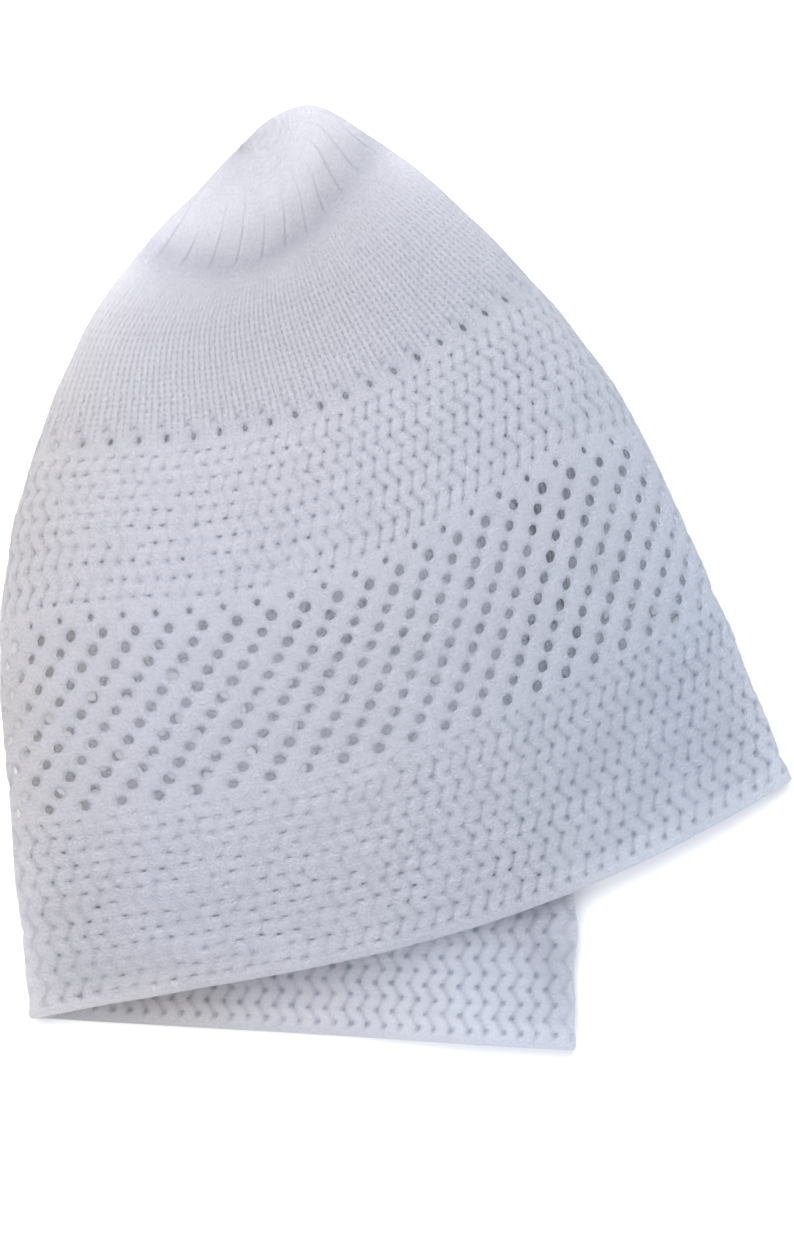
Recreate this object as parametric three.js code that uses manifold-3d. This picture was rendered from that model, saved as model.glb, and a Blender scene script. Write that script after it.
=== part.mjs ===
// A white knitted kufi that lies flat on its back layer, seen from straight above with its mouth
// towards -Y and its crown towards +Y. Millimetres, +Z up, the origin on the surface it lies on,
// under the middle of the cap.
import * as THREE from "three";
import { mergeGeometries, mergeVertices } from "three/addons/utils/BufferGeometryUtils.js";
import Module from "manifold-3d";

const wasm = await Module();
wasm.setup();

// Driving sizes
const laidWidth = 198; // across the cap as it lies, side to side
const laidLength = 236.5; // from the back hem to the tip of the crown as it lies
const loft = 34; // height of the upper layer's middle
const mouthHeight = 13; // height of the front hem's middle
const wallThick = 1.8; // the knit of the wall
const crownThick = 2; // the denser knit of the crown disc
const hemThick = 2.4; // the welt
const hemDepth = 4.2; // the welt, up from its edge
const crownClimb = 27; // the crown disc's radius along the knit
const seamGap = 0.4; // between two pieces, where one is linked to the next
const layerGap = 0.6; // air between the layers of the tuck
const ribCount = 28; // gathers around the crown disc
const ribHeight = 0.45;
const eyeletWidth = 4.6;
const eyeletLength = 4;
const eyeletPitch = 15.5; // around the cap
const eyeletRows = 5;
const bandFoot = 0.25; // the eyelet band's lower and upper edges, as shares of the way up
const bandHead = 0.465;

// One row for each course of the knit, from the hem to the crown's centre.
// climb: share of the way up the knit. leftX, leftY, rightX, rightY: where the course turns under,
// as shares of the laid width and length from the middle of the cap. bowLeft, bowMiddle, bowRight:
// how far the upper layer sags to the mouth, bedBow the lower one, as shares of the laid length.
// ends: 2 where a course meets the side aslant, 1 where it meets it squarely. height, edgeLeft,
// edgeRight and bed: the upper layer's middle, both edges and the lower layer, as shares of the loft.
const courses = [
  {
    climb: 0, leftX: -0.463, leftY: -0.467, rightX: 0.5, rightY: -0.215,
    bowLeft: 0.033, bowMiddle: 0.044, bowRight: 0.05, bedBow: 0.159, ends: 2,
    height: mouthHeight / loft, edgeLeft: 0.13, edgeRight: 0.135, bed: 0,
  },
  {
    climb: 0.25, leftX: -0.487, leftY: -0.248, rightX: 0.402, rightY: -0.012,
    bowLeft: 0.043, bowMiddle: 0.044, bowRight: 0.038, bedBow: 0.159, ends: 2,
    height: 0.76, edgeLeft: 0.23, edgeRight: 0.14, bed: 0,
  },
  {
    climb: 0.465, leftX: -0.5, leftY: -0.059, rightX: 0.311, rightY: 0.152,
    bowLeft: 0.039, bowMiddle: 0.051, bowRight: 0.025, bedBow: 0.15, ends: 2,
    height: 1, edgeLeft: 0.29, edgeRight: 0.17, bed: 0,
  },
  {
    climb: 0.56, leftX: -0.485, leftY: 0.046, rightX: 0.249, rightY: 0.238,
    bowLeft: 0.044, bowMiddle: 0.055, bowRight: 0.038, bedBow: 0.13, ends: 1.8,
    height: 0.99, edgeLeft: 0.3, edgeRight: 0.19, bed: 0,
  },
  {
    climb: 0.665, leftX: -0.453, leftY: 0.14, rightX: 0.172, rightY: 0.315,
    bowLeft: 0.047, bowMiddle: 0.056, bowRight: 0.048, bedBow: 0.111, ends: 1.6,
    height: 0.92, edgeLeft: 0.31, edgeRight: 0.22, bed: 0,
  },
  {
    climb: 0.78, leftX: -0.4, leftY: 0.249, rightX: 0.078, rightY: 0.395,
    bowLeft: 0.051, bowMiddle: 0.057, bowRight: 0.051, bedBow: 0.09, ends: 1.3,
    height: 0.74, edgeLeft: 0.33, edgeRight: 0.26, bed: 0,
  },
  {
    climb: 0.87, leftX: -0.313, leftY: 0.357, rightX: -0.034, rightY: 0.468,
    bowLeft: 0.066, bowMiddle: 0.066, bowRight: 0.051, bedBow: 0.079, ends: 1,
    height: 0.53, edgeLeft: 0.37, edgeRight: 0.32, bed: 0.02,
  },
  {
    climb: 0.93, leftX: -0.257, leftY: 0.403, rightX: -0.109, rightY: 0.5,
    bowLeft: 0.048, bowMiddle: 0.049, bowRight: 0.044, bedBow: 0.053, ends: 1,
    height: 0.7, edgeLeft: 0.42, edgeRight: 0.4, bed: 0.14,
  },
  {
    climb: 0.97, leftX: -0.222, leftY: 0.433, rightX: -0.149, rightY: 0.489,
    bowLeft: 0.021, bowMiddle: 0.021, bowRight: 0.021, bedBow: 0.021, ends: 1,
    height: 0.64, edgeLeft: 0.44, edgeRight: 0.44, bed: 0.27,
  },
  {
    climb: 0.985, leftX: -0.208, leftY: 0.444, rightX: -0.173, rightY: 0.474,
    bowLeft: 0.007, bowMiddle: 0.007, bowRight: 0.007, bedBow: 0.007, ends: 1,
    height: 0.55, edgeLeft: 0.45, edgeRight: 0.45, bed: 0.36,
  },
  {
    climb: 1, leftX: -0.194, leftY: 0.456, rightX: -0.194, rightY: 0.456,
    bowLeft: 0, bowMiddle: 0, bowRight: 0, bedBow: 0, ends: 1,
    height: 0.45, edgeLeft: 0.45, edgeRight: 0.45, bed: 0.45,
  },
];

// The tuck in the lower layer: the knit runs from the right side to the inner fold, doubles back
// to the outer fold, which shows below the front hem, and doubles back again to the left side.
// Shares of the laid width and length; flapBow: sag of the stretch from outer fold to left side.
const tuck = [
  { climb: 0, innerX: 0.144, innerY: -0.343, outerX: 0.217, outerY: -0.5, flapBow: 0 },
  { climb: 0.25, innerX: 0.148, innerY: -0.2, outerX: 0.217, outerY: -0.276, flapBow: 0.012 },
  { climb: 0.465, innerX: 0.177, innerY: -0.048, outerX: 0.213, outerY: -0.073, flapBow: 0.026 },
  { climb: 0.54, innerX: 0.18, innerY: 0.008, outerX: 0.19, outerY: 0, flapBow: 0.038 },
  { climb: 0.66, innerX: 0.119, innerY: 0.239, outerX: 0.081, outerY: 0.208, flapBow: 0.053 },
];
const tuckOpens = [0.54, 0.68]; // climbs over which the tuck spreads into the plain lower layer
const tuckSettles = [0.6, 0.76]; // climbs over which its last ripple sinks

const spanX = laidWidth - wallThick;
const spanY = laidLength - wallThick;
const tuckStep = hemThick + layerGap;

const mix = (a, b, share) => a + (b - a) * share;
const clamp01 = (x) => Math.min(1, Math.max(0, x));
const smooth = (from, to, x) => {
  const s = clamp01((x - from) / (to - from));
  return s * s * (3 - 2 * s);
};

// The value of a table's column at any climb, as a smooth curve with no overshoot between rows.
function column(rows, name) {
  const x = rows.map((row) => row.climb);
  const y = rows.map((row) => row[name]);
  const rise = x.slice(1).map((next, i) => (y[i + 1] - y[i]) / (next - x[i]));
  const slope = x.map((_, i) => {
    if (i === 0) return rise[0];
    if (i === x.length - 1) return rise[i - 1];
    const [a, b] = [rise[i - 1], rise[i]];
    return a * b <= 0 ? 0 : (2 * a * b) / (a + b);
  });
  return (at) => {
    let i = 0;
    while (i < x.length - 2 && at > x[i + 1]) i += 1;
    const h = x[i + 1] - x[i];
    const s = (at - x[i]) / h;
    const start = (1 + 2 * s) * (1 - s) ** 2 * y[i] + s * (1 - s) ** 2 * h * slope[i];
    return start + s * s * (3 - 2 * s) * y[i + 1] + s * s * (s - 1) * h * slope[i + 1];
  };
}

function columns(rows) {
  const names = Object.keys(rows[0]).filter((name) => name !== "climb");
  const curves = names.map((name) => [name, column(rows, name)]);
  return (climb) => Object.fromEntries(curves.map(([name, curve]) => [name, curve(climb)]));
}

const courseAt = columns(courses);
const tuckAt = columns(tuck);

// A course of the knit with its ends and directions in millimetres.
function layCourse(climb) {
  const c = courseAt(Math.min(climb, 1));
  const left = new THREE.Vector2(c.leftX * spanX, c.leftY * spanY);
  const right = new THREE.Vector2(c.rightX * spanX, c.rightY * spanY);
  const across = right.clone().sub(left);
  const unit = across.clone().normalize();
  return { ...c, left, across, toMouth: new THREE.Vector2(unit.y, -unit.x) };
}

// Bow of the upper layer between its quarter points.
function upperBow(c, w) {
  const nearLeft = c.bowLeft * (w - 0.5) * (w - 0.75) * 8;
  const middle = c.bowMiddle * (w - 0.25) * (w - 0.75) * -16;
  const nearRight = c.bowRight * (w - 0.25) * (w - 0.5) * 8;
  return nearLeft + middle + nearRight;
}

function onCourse(c, w, bow, z) {
  const x = c.left.x + c.across.x * w + c.toMouth.x * bow;
  const y = c.left.y + c.across.y * w + c.toMouth.y * bow;
  return new THREE.Vector3(x, y, z);
}

// How far a course belongs to the round nose of the crown rather than to the flat-lying wall.
const noseAt = (climb) => smooth(0.7, 0.88, climb);

// Upper layer; turn runs from 0 at the left side to pi at the right side.
function upperLayer(turn, c, climb) {
  const w = (1 - Math.cos(turn)) / 2;
  const s = Math.max(0, Math.sin(turn));
  const edge = mix(c.edgeLeft, c.edgeRight, w);
  const z = loft * (edge + (c.height - edge) * s ** mix(0.95, 0.6, noseAt(climb)));
  return onCourse(c, w, upperBow(c, w) * spanY * s ** c.ends, z);
}

// Lower layer where it lies plainly; turn runs from pi at the right side to 2 pi at the left.
function plainLower(turn, c, climb, floor) {
  const w = (1 - Math.cos(turn)) / 2;
  const s = Math.max(0, -Math.sin(turn));
  const edge = loft * mix(c.edgeLeft, c.edgeRight, w);
  const bed = floor + loft * c.bed;
  const nose = noseAt(climb);
  const roll = Math.max(0, 1 - (s / mix(0.6, 1, nose)) ** mix(1, 0.6, nose)) ** mix(1.6, 1, nose);
  return onCourse(c, w, c.bedBow * spanY * s ** c.ends, bed + Math.max(0, edge - bed) * roll);
}

// Stations round the tucked lower layer, each with its turn on the plain one. run: rim rolls and
// stretches between the folds; share: how far along; bend: angle round a fold, in degrees.
const rollAngles = [30, 60, 90];
const bendAngles = [-90, -45, 0, 45, 90];
const lowerStations = [
  ...rollAngles.map((angle, i) => ({ run: "rightRoll", bend: angle, turn: 186 + 7 * i })),
  ...[0.25, 0.5, 0.75].map((share, i) => ({ run: "toInner", share, turn: 206 + 6 * i })),
  ...bendAngles.map((bend, i) => ({ run: "inner", bend, turn: 222 + 1.5 * i })),
  ...[0.25, 0.5, 0.75].map((share, i) => ({ run: "toOuter", share, turn: 231 + 2.5 * i })),
  ...bendAngles.map((bend, i) => ({ run: "outer", bend, turn: 238.5 + 1.2 * i })),
  ...[0.05, 0.1, 0.15, 0.2, 0.28, 0.36, 0.45, 0.54, 0.63, 0.72, 0.81, 0.89].map((share, i) => ({
    run: "flap", share, turn: 248 + 7.8 * i,
  })),
  ...[90, 60, 30].map((bend, i) => ({ run: "leftRoll", bend, turn: 341 + 6.5 * i })),
];
const rightRollShare = 0.06;
const leftRollShare = 0.05;
const flapFalls = [0.16, 0.45]; // shares of the flap over which it comes down off the tuck

// Lower layer where it is tucked.
function tuckedLower(station, c, climb, floor) {
  const t = tuckAt(Math.min(climb, tuck[tuck.length - 1].climb));
  const right = c.left.clone().add(c.across);
  const inner = new THREE.Vector2(t.innerX * spanX, t.innerY * spanY);
  const outer = new THREE.Vector2(t.outerX * spanX, t.outerY * spanY);
  const bend = THREE.MathUtils.degToRad(station.bend ?? 0);
  const radius = tuckStep / 2;
  const at = new THREE.Vector2();
  let layer = 0;
  let rolled = 0;
  let share = station.share;
  if (station.run === "rightRoll") {
    at.lerpVectors(right, inner, rightRollShare * (1 - Math.cos(bend)));
    rolled = (1 - Math.sin(bend)) * c.edgeRight;
  } else if (station.run === "toInner") {
    at.lerpVectors(right, inner, share);
  } else if (station.run === "inner") {
    at.subVectors(inner, right).setLength(radius * Math.cos(bend)).add(inner);
    layer = (1 + Math.sin(bend)) / 2;
  } else if (station.run === "toOuter") {
    at.lerpVectors(inner, outer, share);
    layer = 1;
  } else if (station.run === "outer") {
    at.subVectors(outer, c.left).setLength(radius * Math.cos(bend)).add(outer);
    layer = (3 + Math.sin(bend)) / 2;
  } else {
    if (station.run === "leftRoll") {
      share = 1 - leftRollShare * (1 - Math.cos(bend));
      rolled = (1 - Math.sin(bend)) * c.edgeLeft;
    }
    at.lerpVectors(outer, c.left, share);
    at.y -= t.flapBow * spanY * 4 * share * (1 - share);
    layer = 2 * (1 - smooth(...flapFalls, share));
  }
  return new THREE.Vector3(at.x, at.y, floor + layer * tuckStep + rolled * (loft - floor));
}

function lowerLayer(station, c, climb, floor) {
  const turn = THREE.MathUtils.degToRad(station.turn);
  const plain = plainLower(turn, c, climb, floor);
  if (climb >= tuckSettles[1]) return plain;
  const tucked = tuckedLower(station, c, climb, floor);
  const at = tucked.clone().lerp(plain, smooth(...tuckOpens, climb));
  at.z = mix(tucked.z, plain.z, smooth(...tuckSettles, climb));
  return at;
}

const upperSteps = 24;
const upperStations = Array.from({ length: upperSteps + 1 }, (_, i) => ({ turn: (i * 180) / upperSteps }));
const wallStations = [...upperStations, ...lowerStations];
const crownStations = Array.from({ length: ribCount * 4 }, (_, i) => ({
  turn: (i * 360) / (ribCount * 4),
  rib: Math.cos((i * Math.PI) / 2),
}));

// A point in the middle of the knit's thickness.
function knitPoint(station, climb, floor) {
  const c = layCourse(climb);
  const turn = THREE.MathUtils.degToRad(station.turn);
  if (station.turn <= 180) return upperLayer(turn, c, climb);
  if (station.run) return lowerLayer(station, c, climb, floor);
  return plainLower(turn, c, climb, floor);
}

// Length of the knit up the upper layer's middle column.
function columnLength() {
  const steps = 60;
  let length = 0;
  let last = knitPoint({ turn: 90 }, 0, 0);
  for (let i = 1; i <= steps; i += 1) {
    const next = knitPoint({ turn: 90 }, i / steps, 0);
    length += next.distanceTo(last);
    last = next;
  }
  return length;
}
const knitLength = columnLength();
const hemTop = hemDepth / knitLength;
const crownRim = 1 - crownClimb / knitLength;
const halfSeam = seamGap / 2 / knitLength;

// Points and outward directions of a strip of knit, one row for each climb.
function knitGrid(stations, climbs, floor) {
  const n = stations.length;
  const step = 0.002;
  return climbs.map((climb) => {
    const below = stations.map((s) => knitPoint(s, Math.max(0, climb - step), floor));
    const above = stations.map((s) => knitPoint(s, Math.min(1, climb + step), floor));
    const row = stations.map((s) => knitPoint(s, climb, floor));
    return row.map((point, i) => {
      const around = row[(i + 1) % n].clone().sub(row[(i + n - 1) % n]);
      const up = above[i].clone().sub(below[i]);
      const normal = around.cross(up).normalize();
      if (point.z - floor < 0.02) normal.set(0, 0, -1);
      return { point, normal };
    });
  });
}

// A closed shell from rings of points, each ring joined to the next and the last to the first.
function shellOf(rings, apexes) {
  const n = rings[0].length;
  const flat = rings.flat().concat(apexes ?? []);
  const position = new Float32Array(flat.flatMap((p) => [p.x, p.y, p.z]));
  const index = [];
  const joins = apexes ? rings.length - 1 : rings.length;
  for (let j = 0; j < joins; j += 1) {
    const low = j * n;
    const high = ((j + 1) % rings.length) * n;
    for (let i = 0; i < n; i += 1) {
      const k = (i + 1) % n;
      index.push(low + i, low + k, high + k, low + i, high + k, high + i);
    }
  }
  if (apexes) {
    const last = (rings.length - 1) * n;
    for (let i = 0; i < n; i += 1) {
      const k = (i + 1) % n;
      index.push(rings.length * n, k, i);
      index.push(rings.length * n + 1, last + i, last + k);
    }
  }
  const geometry = new THREE.BufferGeometry();
  geometry.setAttribute("position", new THREE.BufferAttribute(position, 3));
  geometry.setIndex(index);
  return geometry;
}

const offset = (grid, distance) =>
  grid.map((row) => row.map(({ point, normal }) => point.clone().addScaledVector(normal, distance)));

// The welt, with its free edge rounded.
function hemGeometry() {
  const half = hemThick / 2;
  const climbs = [0, 0.5, 1].map((share) => share * (hemTop - halfSeam));
  const grid = knitGrid(wallStations, climbs, half);
  const outer = offset(grid, half);
  const inner = offset(grid, -half).reverse();
  const edge = grid[0].map(({ point }, i) => {
    const away = point.clone().sub(grid[1][i].point).setLength(half * 0.7);
    return point.clone().add(away);
  });
  return shellOf([...outer, ...inner, edge]);
}

function wallGeometry() {
  const half = wallThick / 2;
  const foot = hemTop + halfSeam;
  const head = crownRim - halfSeam;
  const rows = 16;
  const climbs = Array.from({ length: rows + 1 }, (_, i) => mix(foot, head, i / rows));
  const grid = knitGrid(wallStations, climbs, half);
  return shellOf([...offset(grid, half), ...offset(grid, -half).reverse()]);
}

// The crown disc, gathered into ribs that fade towards its centre.
function crownGeometry() {
  const half = crownThick / 2;
  const rim = crownRim + halfSeam;
  const climbs = [0, 0.22, 0.45, 0.66, 0.83].map((share) => mix(rim, 1, share));
  const grid = knitGrid(crownStations, climbs, half);
  grid.forEach((row, j) => {
    const fade = 1 - smooth(rim, 1, climbs[j]);
    row.forEach((at, i) => at.point.addScaledVector(at.normal, ribHeight * fade * crownStations[i].rib));
  });
  const centre = knitPoint({ turn: 90 }, 1, half);
  const out = grid[grid.length - 1].reduce((sum, { normal }) => sum.add(normal), new THREE.Vector3());
  out.normalize();
  const outer = offset(grid, half).reverse();
  const inner = offset(grid, -half);
  const tips = [half, -half].map((d) => centre.clone().addScaledVector(out, d));
  return turnedOut(shellOf([...outer, ...inner], tips));
}

// The crown's rings run down the outside and up the inside, so its triangles are turned round.
function turnedOut(geometry) {
  const index = geometry.getIndex().array;
  for (let i = 0; i < index.length; i += 3) {
    [index[i + 1], index[i + 2]] = [index[i + 2], index[i + 1]];
  }
  return geometry;
}

function solidFrom(geometry) {
  const bare = geometry.clone();
  bare.deleteAttribute("normal");
  bare.deleteAttribute("uv");
  const merged = mergeVertices(bare, 1e-4);
  return new wasm.Manifold(
    new wasm.Mesh({
      numProp: 3,
      vertProperties: merged.getAttribute("position").array,
      triVerts: new Uint32Array(merged.getIndex().array),
    }),
  );
}

function geometryFrom(solid) {
  const mesh = solid.getMesh();
  const geometry = new THREE.BufferGeometry();
  geometry.setAttribute("position", new THREE.BufferAttribute(mesh.vertProperties, 3));
  geometry.setIndex(new THREE.BufferAttribute(mesh.triVerts, 1));
  return geometry;
}

// Places at even spacing along a stretch of one course, well clear of its ends.
function evenPlaces(stations, climb, floor, pitch, lean) {
  const points = stations.map((s) => knitPoint(s, climb, floor));
  const reach = [0];
  points.slice(1).forEach((p, i) => reach.push(reach[i] + p.distanceTo(points[i])));
  const total = reach[reach.length - 1];
  const count = Math.floor(total / pitch);
  const places = [];
  for (let k = 0; k < count; k += 1) {
    const at = (k + 0.5 + lean) * (total / count);
    const i = Math.max(1, reach.findIndex((r) => r >= at));
    const share = (at - reach[i - 1]) / (reach[i] - reach[i - 1]);
    const point = points[i - 1].clone().lerp(points[i], share);
    const ahead = points[i].clone().sub(points[i - 1]).normalize();
    places.push({ point, ahead });
  }
  return places;
}

// One pointed-oval eyelet cutter, through the wall at a place on it.
function eyeletCutter(place, up) {
  const cutter = new THREE.CylinderGeometry(1, 1, wallThick + 1, 6);
  const out = place.ahead.clone().cross(up).normalize();
  const climbing = out.clone().cross(place.ahead);
  const wide = place.ahead.clone().multiplyScalar(eyeletWidth / 2);
  const tall = climbing.clone().multiplyScalar(eyeletLength / 2);
  const frame = new THREE.Matrix4().makeBasis(tall, out, wide);
  frame.setPosition(place.point);
  return cutter.applyMatrix4(frame);
}

// The open band: rows of eyelets, each row shifted against the one above it.
function eyeletCutters() {
  const half = wallThick / 2;
  const upper = upperStations.filter((s) => s.turn > 8 && s.turn < 172);
  const flap = lowerStations.filter((s) => s.run === "flap");
  const hidden = lowerStations.filter((s) => s.run === "toInner");
  const up = new THREE.Vector3(0, 1, 0);
  const cutters = [];
  for (let row = 0; row < eyeletRows; row += 1) {
    const climb = mix(bandFoot, bandHead, (row + 0.5) / eyeletRows);
    const lean = row % 2 ? 0.22 : -0.22;
    [upper, flap, hidden].forEach((stretch) => {
      const places = evenPlaces(stretch, climb, half, eyeletPitch, lean);
      places.forEach((place) => cutters.push(eyeletCutter(place, up)));
    });
  }
  return mergeGeometries(cutters);
}

function piece(name, geometry, colour) {
  const material = new THREE.MeshStandardMaterial({ color: colour, roughness: 0.92, metalness: 0 });
  const mesh = new THREE.Mesh(geometry, material);
  mesh.name = name;
  return mesh;
}

const openWall = solidFrom(wallGeometry()).subtract(solidFrom(eyeletCutters()));
const kufi = new THREE.Group();
kufi.add(piece("crown_disc", crownGeometry(), 0xe3e5ee));
kufi.add(piece("side_wall", geometryFrom(openWall), 0xdcdee8));
kufi.add(piece("hem_band", hemGeometry(), 0xdfe1ea));

// The origin goes under the middle of the cap, on the surface it lies on.
const box = new THREE.Box3().setFromObject(kufi);
const middle = box.getCenter(new THREE.Vector3());
kufi.position.set(-middle.x, -middle.y, -box.min.z);

export default kufi;
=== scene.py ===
# A white openwork knitted kufi that lies flat on its back layer, seen from straight above.
# Lengths in the knit's tables are shares of the cap's laid sizes; the mesh is built in metres.
import math

import bpy
import numpy as np
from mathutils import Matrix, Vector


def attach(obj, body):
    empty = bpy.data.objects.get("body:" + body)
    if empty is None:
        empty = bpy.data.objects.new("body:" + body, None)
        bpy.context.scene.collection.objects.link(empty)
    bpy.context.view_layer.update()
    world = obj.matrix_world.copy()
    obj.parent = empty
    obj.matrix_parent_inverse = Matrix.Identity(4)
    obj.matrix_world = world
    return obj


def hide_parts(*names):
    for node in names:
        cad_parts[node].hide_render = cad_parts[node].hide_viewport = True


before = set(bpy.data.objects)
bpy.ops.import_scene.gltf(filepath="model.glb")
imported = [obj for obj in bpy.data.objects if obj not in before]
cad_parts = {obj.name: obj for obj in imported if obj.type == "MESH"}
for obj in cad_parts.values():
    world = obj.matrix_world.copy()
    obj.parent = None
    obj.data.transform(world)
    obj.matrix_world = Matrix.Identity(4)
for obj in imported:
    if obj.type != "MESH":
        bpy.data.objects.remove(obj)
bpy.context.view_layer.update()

MM = 0.001

# Sizes in millimetres, as the solids have them
LAID_WIDTH = 198.0
LAID_LENGTH = 236.5
LOFT = 34.0
MOUTH_HEIGHT = 13.0
WALL = 1.8
HEM = 2.4
LAYER_GAP = 0.6
SPAN_X = LAID_WIDTH - WALL
SPAN_Y = LAID_LENGTH - WALL
TUCK_STEP = HEM + LAYER_GAP
# The middle of the laid cap, seen from the origin of the tables
MIDDLE = np.array([0.12, 0.163, 0.0])

# Columns of the lace round the cap, and the ones at which it folds
COLUMNS = 108
UPPER_COLUMNS = 45.0
INNER_FOLD = 65.2
OUTER_FOLD = 75.0
FIRST_COLUMN = 70.0
COLUMN_MM = 4.15
# Faces of the mesh to each column and row
CELL = 6

# Climbs are shares of the way from the hem to the middle of the crown
BAND_FOOT = 0.25
BAND_HEAD = 0.465
SLOT_CLIMB = 0.665
RIM_CLIMB = 0.872
BAND_ROWS = 12
ROW = (BAND_HEAD - BAND_FOOT) / BAND_ROWS
ROW_MM = 3.8
HEM_TO_WALL = (0.012, 0.03)
FLAT_TO_NOSE = (0.7, 0.88)
TUCK_CLOSES = (0.54, 0.68)
TUCK_SINKS = (0.6, 0.76)
# Shares of the flap's way to the left over which it comes down from the tuck to the floor
FLAP_SINKS = (0.16, 0.45)

COURSE_COLUMNS = (
    "climb", "left_x", "left_y", "right_x", "right_y", "bow_left", "bow_middle", "bow_right",
    "bed_bow", "ends", "height", "edge_left", "edge_right", "bed",
)
COURSES = [
    (0, -0.463, -0.467, 0.5, -0.215, 0.033, 0.044, 0.05, 0.159, 2, 13 / 34, 0.13, 0.135, 0),
    (0.25, -0.487, -0.248, 0.402, -0.012, 0.043, 0.044, 0.038, 0.159, 2, 0.76, 0.23, 0.14, 0),
    (0.465, -0.5, -0.059, 0.311, 0.152, 0.039, 0.051, 0.025, 0.15, 2, 1, 0.29, 0.17, 0),
    (0.56, -0.485, 0.046, 0.249, 0.238, 0.044, 0.055, 0.038, 0.13, 1.8, 0.99, 0.3, 0.19, 0),
    (0.665, -0.453, 0.14, 0.172, 0.315, 0.047, 0.056, 0.048, 0.111, 1.6, 0.92, 0.31, 0.22, 0),
    (0.78, -0.4, 0.249, 0.078, 0.395, 0.051, 0.057, 0.051, 0.09, 1.3, 0.74, 0.33, 0.26, 0),
    (0.87, -0.313, 0.357, -0.034, 0.468, 0.066, 0.066, 0.051, 0.079, 1, 0.53, 0.37, 0.32, 0.02),
    (0.93, -0.257, 0.403, -0.109, 0.5, 0.048, 0.049, 0.044, 0.053, 1, 0.7, 0.42, 0.4, 0.14),
    (0.97, -0.222, 0.433, -0.149, 0.489, 0.021, 0.021, 0.021, 0.021, 1, 0.64, 0.44, 0.44, 0.27),
    (0.985, -0.208, 0.444, -0.173, 0.474, 0.007, 0.007, 0.007, 0.007, 1, 0.55, 0.45, 0.45, 0.36),
    (1, -0.194, 0.456, -0.194, 0.456, 0, 0, 0, 0, 1, 0.45, 0.45, 0.45, 0.45),
]
TUCK_COLUMNS = ("climb", "inner_x", "inner_y", "outer_x", "outer_y", "flap_bow")
TUCK = [
    (0, 0.144, -0.343, 0.217, -0.5, 0),
    (0.25, 0.148, -0.2, 0.217, -0.276, 0.012),
    (0.465, 0.177, -0.048, 0.213, -0.073, 0.026),
    (0.54, 0.18, 0.008, 0.19, 0, 0.038),
    (0.66, 0.119, 0.239, 0.081, 0.208, 0.053),
]

# Which columns of the lace lie on the upper layer: the first one, how many, and the shares of the
# way from left to right at which a quarter, half and three quarters of them have passed
SPREAD_COLUMNS = ("climb", "first", "count", "quarter", "half", "three_quarters")
SPREAD = [
    (0, -0.7, 44.2, 0.262, 0.52, 0.762),
    (0.25, 0, 45, 0.273, 0.539, 0.776),
    (0.465, -1.9, 45, 0.25, 0.503, 0.747),
    (0.665, 0, 42.7, 0.268, 0.501, 0.743),
    (0.87, 1, 44, 0.25, 0.5, 0.75),
    (1, 1, 46, 0.25, 0.5, 0.75),
]


def mix(a, b, share):
    return a + (b - a) * share


def smooth(start, end, x):
    s = np.clip((x - start) / (end - start), 0, 1)
    return s * s * (3 - 2 * s)


def column_curve(x, y):
    """A smooth curve through a table's column, with no overshoot between its rows."""
    x, y = np.asarray(x, float), np.asarray(y, float)
    rise = np.diff(y) / np.diff(x)
    slope = np.empty_like(y)
    slope[0], slope[-1] = rise[0], rise[-1]
    a, b = rise[:-1], rise[1:]
    both = a * b > 0
    slope[1:-1] = np.where(both, 2 * a * b / np.where(both, a + b, 1), 0)

    def at(value):
        i = np.clip(np.searchsorted(x, value) - 1, 0, len(x) - 2)
        h = x[i + 1] - x[i]
        s = (value - x[i]) / h
        low = (1 + 2 * s) * (1 - s) ** 2 * y[i] + s * (1 - s) ** 2 * h * slope[i]
        return low + s * s * (3 - 2 * s) * y[i + 1] + s * s * (s - 1) * h * slope[i + 1]

    return at


def table_curves(names, rows):
    data = np.array(rows, float)
    return {name: column_curve(data[:, 0], data[:, i]) for i, name in enumerate(names) if i}


COURSE_AT = table_curves(COURSE_COLUMNS, COURSES)
TUCK_AT = table_curves(TUCK_COLUMNS, TUCK)
SPREAD_AT = table_curves(SPREAD_COLUMNS, SPREAD)


def lay_course(climb):
    c = {name: curve(climb) for name, curve in COURSE_AT.items()}
    c["left"] = np.array([c["left_x"] * SPAN_X, c["left_y"] * SPAN_Y])
    right = np.array([c["right_x"] * SPAN_X, c["right_y"] * SPAN_Y])
    c["right"] = right
    c["across"] = right - c["left"]
    unit = c["across"] / max(np.linalg.norm(c["across"]), 1e-9)
    c["to_mouth"] = np.array([unit[1], -unit[0]])
    return c


def on_course(c, w, bow, z):
    xy = c["left"] + np.outer(w, c["across"]) + np.outer(bow, c["to_mouth"])
    return np.column_stack([xy, z])


def nose_at(climb):
    return float(smooth(*FLAT_TO_NOSE, climb))


def upper_layer(turn, c, climb):
    w = (1 - np.cos(turn)) / 2
    s = np.clip(np.sin(turn), 0, 1)
    # A parabola through the bows at a quarter, half and three quarters of the way
    bow = (
        c["bow_left"] * (w - 0.5) * (w - 0.75) * 8
        + c["bow_middle"] * (w - 0.25) * (w - 0.75) * -16
        + c["bow_right"] * (w - 0.25) * (w - 0.5) * 8
    )
    edge = mix(c["edge_left"], c["edge_right"], w)
    z = LOFT * (edge + (c["height"] - edge) * s ** mix(0.95, 0.6, nose_at(climb)))
    return on_course(c, w, bow * SPAN_Y * s ** c["ends"], z)


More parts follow.
